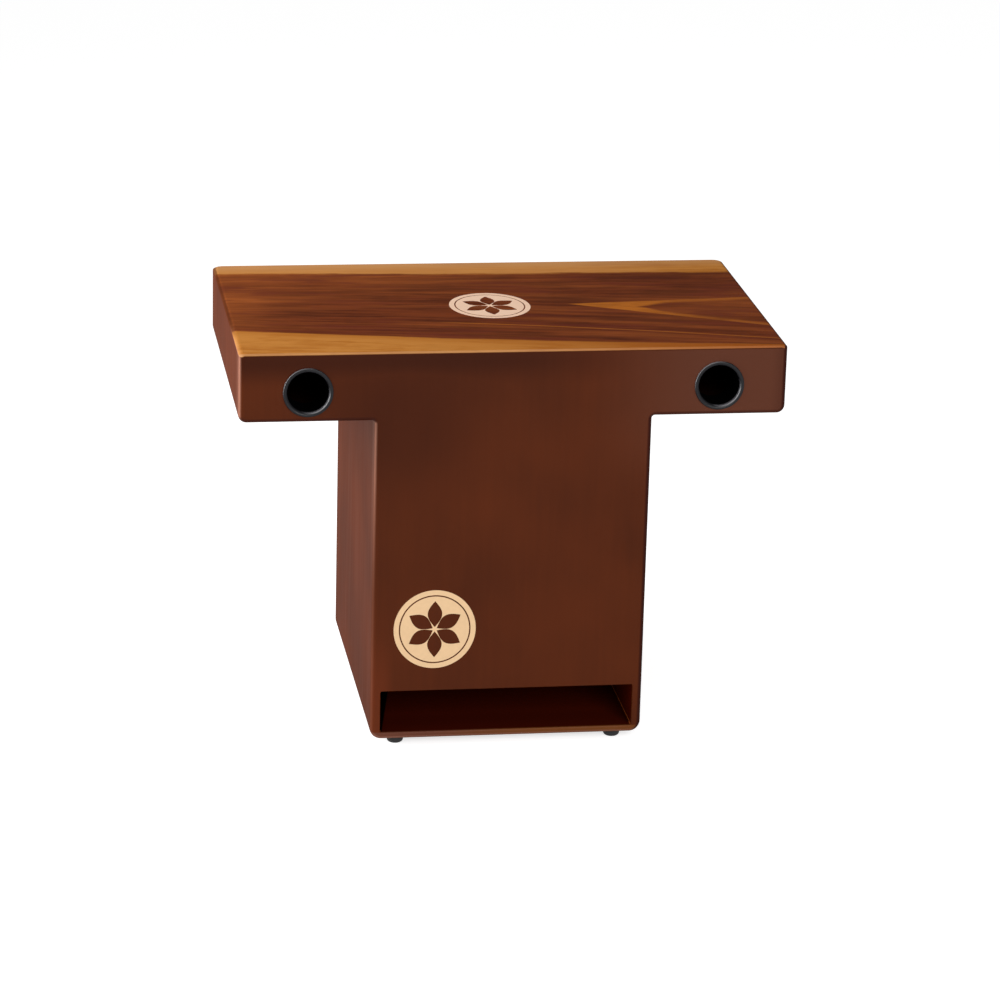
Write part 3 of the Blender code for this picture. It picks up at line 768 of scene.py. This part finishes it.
def walnut_material():
    """Flat-sawn walnut, its grain along X: heartwood, a pale pointed band at the right, sapwood edges."""
    material, shader, point = new_material("walnut_veneer", Specular_IOR_Level=0.0, Coat_Weight=0.04,
                                           Coat_Roughness=0.38)
    x, y = point.split()[:2]
    sway = point.noise(5.5, 2.0, 0.5, (0.6, 1.6, 1.0)) - 0.5
    ripple = point.noise(36.0, 3.0, 0.55, (0.20, 1.0, 1.0)) - 0.5
    wander = point.noise(13.0, 3.0, 0.6, (1.0, 1.4, 1.0)) - 0.5
    y = y + 0.0065 * sway + 0.0022 * ripple
    # growth lines lean more towards the front edge, and streaks follow them
    lean = 0.02 + 0.15 * y.step(*LEAN_FRONT)
    grain = y + lean * x + 0.0085 * wander
    along = grain.node("CombineXYZ", None, {"X": x, "Y": grain})
    rings = along.noise(150.0, 3.0, 0.55, (0.055, 1.0, 1.0))
    broad = along.noise(42.0, 2.0, 0.5, (0.080, 1.0, 1.0))
    streak = along.noise(620.0, 3.0, 0.6, (0.035, 1.0, 1.0))
    pores = along.noise(1500.0, 2.0, 0.55, (0.035, 1.0, 1.0))
    patch = point.noise(9.0, 2.0, 0.5, (0.6, 1.0, 1.0))
    cloud = point.noise(24.0, 4.0, 0.62, (0.70, 1.7, 1.0))
    # heartwood with plum streaks, lighter at the back left, at the left end and round the pointed band
    plum = along.noise(58.0, 2.0, 0.5, (0.105, 1.0, 1.0)) * 0.55 + cloud * 0.45
    plum = plum.step(0.49, 0.62) * 0.50
    lighter = (y - LIGHT_SLANT * x).step(*LIGHT_BACK_LEFT) * 0.60 + x.step(*LIGHT_LEFT_END) * 0.30
    tone = (rings * 0.62 + cloud * 0.38).step(0.36, 0.62).blend(HEART_DARK, HEART)
    round_band = x.step(*LIGHT_RIGHT) * y.step(*LIGHT_RIGHT_FRONT) * y.step(*LIGHT_RIGHT_BACK)
    lighter = lighter + round_band * 0.40
    tone = (broad.step(0.44, 0.68) * 0.50 + lighter * patch.step(0.30, 0.60)).blend(tone, HEART_LIGHT)
    tone = plum.blend(tone, HEART_PLUM)
    # one thin paler line runs from the middle to the right end, in front of the pointed band
    line_offset = y - along_plate(x, *THIN_LINE)
    line = line_offset.step(-0.0030, 0.0) * line_offset.step(0.0022, 0.0) * x.step(*THIN_LINE_LEFT)
    tone = (line * 0.55).blend(tone, BAND)
    # the pointed band: solid at its tip, then two arms that thin out and fade to the right
    offset = abs(y - along_plate(x, *BAND_LINE)) + 0.0045 * (cloud - 0.5)
    reach = (x - BAND_START) / BAND_TAPER + BAND_TIP_HALF
    thick = BAND_ARM + BAND_SOLID * x.step(*BAND_SOLID_LEFT)
    band = (offset - reach).step(0.0016, -0.0022) * (offset - reach + thick).step(-0.0060, 0.0030)
    fade = 0.98 - 0.48 * x.step(*BAND_FADES) - 0.18 * cloud.step(0.56, 0.40)
    tone = (band * fade).blend(tone, BAND)
    # sapwood along both long edges; the front strip narrows and takes the heartwood's tinge to the right
    front_line = along_plate(x, *FRONT_SAP_LINE) + 0.006 * ripple
    front_sap = (y - front_line + 0.006 * (cloud - 0.5)).step(0.0026, -0.0026)
    back_line = along_plate(x, *BACK_SAP_LINE)
    back_sap = (y - back_line - 0.016 * (cloud - 0.5)).step(-0.0035, 0.0055)
    pale = (rings * 0.32 + broad * 0.20 + cloud * 0.48).step(0.40, 0.58)
    near_heart = (y - front_line).step(-0.022, 0.0) * 0.40 + (y - back_line).step(0.014, 0.0) * 0.40
    pale = (pale * (1 - near_heart)).blend(SAPWOOD_DARK, SAPWOOD)
    pale = (back_sap * (0.50 - 0.50 * x.step(*BACK_SAP_FADES))).blend(pale, SAPWOOD_BACK)
    tinged = (front_sap * x.step(*FRONT_SAP_TINGED)).blend(pale, SAPWOOD_TINGED)
    sap = front_sap.larger(back_sap)
    tone = sap.blend(tone, tinged)
    dark = streak.step(0.52, 0.28) * 0.42 + pores.step(0.46, 0.26) * 0.25
    dark = dark * (1 - 0.72 * sap)
    colour = dark.blend(tone, PORES)
    # a painted highlight on the front edge's rounding and at the front of the left end, and lighter along
    # the back edge; the rest of that end and the foot of the front edge took the body's stain
    tilt = point.node("NewGeometry", output="Normal").split()
    left_end = tilt[0].step(-0.10, -0.45)
    rim_highlight_and_back = tilt[1].step(-0.10, -0.45) * (0.35 - 0.20 * x.step(*RIM_HIGHLIGHT_LESS_RIGHT))
    rim_highlight_and_back = rim_highlight_and_back + left_end * y.step(*RIM_HIGHLIGHT_LEFT_END) * 0.25 + y.step(*PALE_BACK_EDGE) * 0.30
    colour = rim_highlight_and_back.blend(colour, PALE_RIM_AND_BACK)
    colour = (left_end * y.step(*STAINED_LEFT_END) * 0.80).blend(colour, STAIN_DARK)
    colour = tilt[1].step(-0.90, -0.995).blend(colour, STAIN_DARK)
    height = streak * 0.6 + pores * 0.4
    connect(shader, Base_Color=colour, Roughness=0.52 - 0.10 * streak, Normal=bump(height, 0.00005))
    return material


walnut = walnut_material()


def plate_outline(share):
    """The plate from above, drawn in at its edges by this share of their round-over."""
    half = HALF_WIDTH - share * PLATE_END
    near, far = FRONT + share * PLATE_EDGE, BACK - share * PLATE_EDGE
    return turn_corners([(-half, near, EDGE), (half, near, EDGE), (half, far, BACK_EDGE),
                         (-half, far, BACK_EDGE)])


plate_rings = [[(p.x, p.y, PLATE_LOW) for p in plate_outline(0)]]
for step in range(EDGE_STEPS + 1):
    angle = math.pi / 2 * step / EDGE_STEPS
    height = VENEER_TOP - PLATE_DROP * (1 - math.sin(angle))
    plate_rings.append([(p.x, p.y, height) for p in plate_outline(1 - math.cos(angle))])
plate = loft("playing_plate", plate_rings)
finish_piece(plate, walnut, "walnut_top", "playing_surface")
plate.data.materials.append(lacquer)
for face in plate.data.polygons:
    veneered = face.normal.z > VENEER_UP and -VENEER_LEFT < face.normal.x < VENEER_RIGHT
    face.material_index = 0 if veneered else 1

# Round prints: a cream disc screen-printed on the front, low and left, and one on the playing surface,
# each with a traditional six-petalled rosette and a thin ring left out, so that the wood shows through.
FRONT_CREAM = (0.86, 0.575, 0.320)
TOP_CREAM = (0.96, 0.610, 0.400)
PRINT_RADIUS = 0.0395
FRONT_PRINT = (-0.0715, 0.119)
TOP_PRINT = (-0.0027, -0.0030)
TOP_PRINT_DEEPER = 1.15
PETALS = 6
PETAL_START = 0.0022
PETAL_REACH = 0.0285
PETAL_HALF_WIDTH = 0.0070
RING_OUTER = 0.0345
RING_INNER = 0.0332
PETAL_STEPS = 14


def print_material(name, ink):
    """Cream screen-print ink, satin and slightly uneven."""
    material, shader, point = new_material(name, Roughness=0.42, Specular_IOR_Level=0.35)
    mottle = point.noise(260.0, 3.0, 0.6)
    cloud = point.noise(30.0, 2.0, 0.5)
    colour = (mottle * 0.5 + cloud * 0.5).step(0.30, 0.70).blend([0.93 * c for c in ink], ink)
    connect(shader, Base_Color=colour, Normal=bump(mottle, 0.00001))
    return material


def petal(turn):
    """A pointed petal from near the centre outward, each of its sides half a wave."""
    points = []
    for i in range(PETAL_STEPS + 1):
        share = i / PETAL_STEPS
        points.append((PETAL_START + (PETAL_REACH - PETAL_START) * share,
                       PETAL_HALF_WIDTH * math.sin(math.pi * share)))
    points += [(x, -y) for x, y in points[-2:0:-1]]
    c, s = math.cos(turn), math.sin(turn)
    return [(c * x - s * y, s * x + c * y) for x, y in points]


def print_disc(name, ink, place, rotation, stretch=1.0):
    """One print: the disc with its ring and petals cut out, in its place."""
    outlines = [circle(PRINT_RADIUS), circle(RING_OUTER), circle(RING_INNER)]
    outlines += [petal(2 * math.pi * (i + 0.5) / PETALS) for i in range(PETALS)]
    mesh = flat_piece(name, [[(x, stretch * y) for x, y in outline] for outline in outlines], PRINT)
    piece = bpy.data.objects.new(name, mesh)
    bpy.context.scene.collection.objects.link(piece)
    piece.location = place
    piece.rotation_euler = rotation
    mesh.materials.append(print_material(name + "_ink", ink))
    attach(piece, "root")


front_place = (FRONT_PRINT[0], FRONT - PRINT / 2, FRONT_PRINT[1])
print_disc("front_print", FRONT_CREAM, front_place, (math.pi / 2, 0, 0))
print_disc("top_print", TOP_CREAM, (*TOP_PRINT, TOP - PRINT / 2), (0, 0, 0), TOP_PRINT_DEEPER)

# Port tubes: moulded black plastic, each a rounded flange that sits on the front panel and a short
# tube behind it, pushed through the hole into the wing.
PORT_BORE = 0.0197
PORT_FLANGE = 0.0236
PORT_TUBE = 0.0214
PORT_LENGTH = 0.034
PORT_PROUD = 0.002
PORT_LIP = 0.0028
PORT_ROUND = 0.0010
WELD = 0.000001
PLASTIC = (0.010, 0.010, 0.012)
PLASTIC_CLOUD = (0.016, 0.016, 0.018)
# near-black painted shade for the bore, and a painted highlight for the lip
BORE_SHADE = (0.0015, 0.0015, 0.0018)
PAINTED_LIP_HIGHLIGHT = (0.130, 0.125, 0.138)


def turned(name, profile, location, rotation=(0, 0, 0)):
    """A closed profile of (radius, height) points turned about its own Z."""
    bm = bmesh.new()
    rows = [[bm.verts.new((r * c, r * s, z)) for r, z in profile] for c, s in circle(1.0)]
    for near, far in zip(rows, rows[1:] + rows[:1]):
        for i in range(len(profile)):
            j = (i + 1) % len(profile)
            if profile[i][0] or profile[j][0]:
                bm.faces.new((near[i], near[j], far[j], far[i]))
    bmesh.ops.remove_doubles(bm, verts=bm.verts, dist=WELD)
    bmesh.ops.dissolve_degenerate(bm, edges=bm.edges, dist=WELD)
    bmesh.ops.recalc_face_normals(bm, faces=bm.faces)
    mesh = bpy.data.meshes.new(name)
    bm.to_mesh(mesh)
    bm.free()
    piece = bpy.data.objects.new(name, mesh)
    piece.location = location
    piece.rotation_euler = rotation
    bpy.context.scene.collection.objects.link(piece)
    return piece


def plastic_material():
    """Black plastic: satin outside, matt with painted shade in the bore, painted highlight on the up-left
    lip.
    """
    material, shader, point = new_material("black_plastic", Specular_IOR_Level=0.0, Coat_Roughness=0.30,
                                           Coat_IOR=2.5)
    spark = point.noise(2600.0, 2.0, 0.5)
    cloud = point.noise(60.0, 2.0, 0.5)
    lean = point.node("NewGeometry", output="Normal").split()
    # a painted highlight, in colour and a stronger coat, where the lip faces up and to the left
    highlight_side = (0.71 * lean[2] - 0.70 * lean[0]).step(0.36, 0.78)
    outside = point.split()[2].step(-0.0030, -0.0005)
    colour = cloud.blend(PLASTIC, PLASTIC_CLOUD)
    colour = outside.blend(BORE_SHADE, highlight_side.blend(colour, PAINTED_LIP_HIGHLIGHT))
    connect(shader, Base_Color=colour, Roughness=0.44 + 0.12 * cloud, Normal=bump(spark, 0.00002),
            Coat_Weight=outside * (0.06 + 0.94 * highlight_side))
    return material


plastic = plastic_material()
port_profile = [(PORT_BORE, PORT_PROUD - PORT_LENGTH), (PORT_TUBE, PORT_PROUD - PORT_LENGTH),
                (PORT_TUBE, 0.0), (PORT_FLANGE, 0.0)]
port_profile += quarter(PORT_FLANGE - PORT_ROUND, PORT_PROUD - PORT_ROUND, PORT_ROUND, 0)
port_profile += quarter(PORT_BORE + PORT_LIP, PORT_PROUD - PORT_LIP, PORT_LIP, 90)
for side, (x, z) in PORT_CENTRES.items():
    tube = turned("port_" + side, port_profile, (x, FRONT, z), (math.pi / 2, 0, 0))
    finish_piece(tube, plastic, "port_plastic", "port_tube_" + side)

# Feet: black rubber buttons with a domed edge, each with a deep recess for the screw that holds it
# to the bottom board.
FOOT_FLAT = 0.0055
FOOT_SHOULDER = 0.0034
FOOT_SEAT = 0.0031
FOOT_RECESS = 0.0037
FOOT_HOLE = 0.0018
FOOT_LIP = 0.0003
RUBBER = (0.012, 0.012, 0.013)
RUBBER_DUST = (0.030, 0.028, 0.026)


def rubber_material():
    """Matt black rubber with a little dust on it."""
    material, shader, point = new_material("black_rubber", Specular_IOR_Level=0.35)
    speck = point.noise(3200.0, 2.0, 0.6)
    dust = point.noise(240.0, 3.0, 0.6)
    colour = dust.step(0.45, 0.80).blend(RUBBER, RUBBER_DUST)
    connect(shader, Base_Color=colour, Roughness=0.55 + 0.25 * dust, Normal=bump(speck, 0.00003))
    return material


def middle_of(node):
    """A node's middle in X and Y, and half its width."""
    low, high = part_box(node)
    return (low.x + high.x) / 2, (low.y + high.y) / 2, (high.x - low.x) / 2


rubber = rubber_material()
for end in ENDS:
    for side in SIDES:
        label = end + "_" + side
        x, y, radius = middle_of("foot_" + label)
        foot_profile = [(radius, BASE)]
        foot_profile += [(FOOT_FLAT + (radius - FOOT_FLAT) * px, FOOT_SHOULDER * (1 + pz))
                         for px, pz in reversed(quarter(0, 0, 1, -90))]
        foot_profile += [(FOOT_RECESS + FOOT_LIP, 0), (FOOT_RECESS, FOOT_LIP), (FOOT_RECESS, FOOT_SEAT),
                         (FOOT_HOLE, FOOT_SEAT), (FOOT_HOLE, BASE)]
        foot = turned("rubber_foot_" + label, foot_profile, (x, y, 0))
        finish_piece(foot, rubber, "foot_rubber", "foot_" + label)

# Screws: zinc-plated round-headed wood screws with a cross recess, one up through each foot and two
# down through each set of snare wires. Rings stand for the thread.
SCREW_SHANK = 0.0015
THREAD_ROOT = 0.0011
THREAD_PITCH = 0.0011
FOOT_SCREW_HEAD = 0.0019
SNARE_SCREW_HEAD = 0.0013
HEAD_ROUND = 0.75
CROSS_ARM = 0.0017
CROSS_END = 0.0003
CROSS_WAIST = 0.0006
CROSS_DEPTH = 0.0009
CROSS_TAPER = 0.55
ZINC_LIGHT = (0.66, 0.64, 0.58)
ZINC_DARK = (0.47, 0.46, 0.42)

zinc = metal_material("zinc_plate", ZINC_LIGHT, ZINC_DARK, 0.26)


def cross_cutter():
    """The recess's four tapering arms, sunk into the head from below."""
    quarter_points = [(CROSS_ARM, -CROSS_END), (CROSS_ARM, CROSS_END), (CROSS_WAIST, CROSS_WAIST)]
    outline = []
    for turn in range(4):
        c, s = round(math.cos(turn * math.pi / 2)), round(math.sin(turn * math.pi / 2))
        outline += [(c * px - s * py, s * px + c * py) for px, py in quarter_points]
    levels = ((-CROSS_DEPTH, 1.0), (CROSS_DEPTH, CROSS_TAPER))
    return loft("cross_cutter", [[(k * px, k * py, z) for px, py in outline] for z, k in levels])


def wood_screw(name, node, head, points_up):
    """A screw over its CAD node: its head's crown at one end of it and its tip at the other."""
    x, y, radius = middle_of(node)
    low, high = [corner.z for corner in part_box(node)]
    length = high - low
    crown = [(radius * px, HEAD_ROUND * head * (1 + pz)) for px, pz in quarter(0, 0, 1, -90)]
    profile = [*crown, (radius, head), (SCREW_SHANK, head)]
    along = head + THREAD_PITCH
    while along < length - 3 * SCREW_SHANK:
        profile += [(THREAD_ROOT, along), (SCREW_SHANK, along + THREAD_PITCH / 2)]
        along += THREAD_PITCH
    profile += [(THREAD_ROOT, length - 2 * SCREW_SHANK), (0, length)]
    screw = turned(name, profile, (0, 0, 0))
    cut(screw, [cross_cutter()])
    screw.location = (x, y, low if points_up else high)
    screw.rotation_euler = (0 if points_up else math.pi, 0, 0)
    finish_piece(screw, zinc, "screw_zinc", node)


for end in ENDS:
    for side in SIDES:
        label = end + "_" + side
        wood_screw("foot_wood_screw_" + label, "foot_screw_" + label, FOOT_SCREW_HEAD, True)
        label = side + "_" + end
        wood_screw("snare_wood_screw_" + label, "snare_screw_" + label, SNARE_SCREW_HEAD, False)
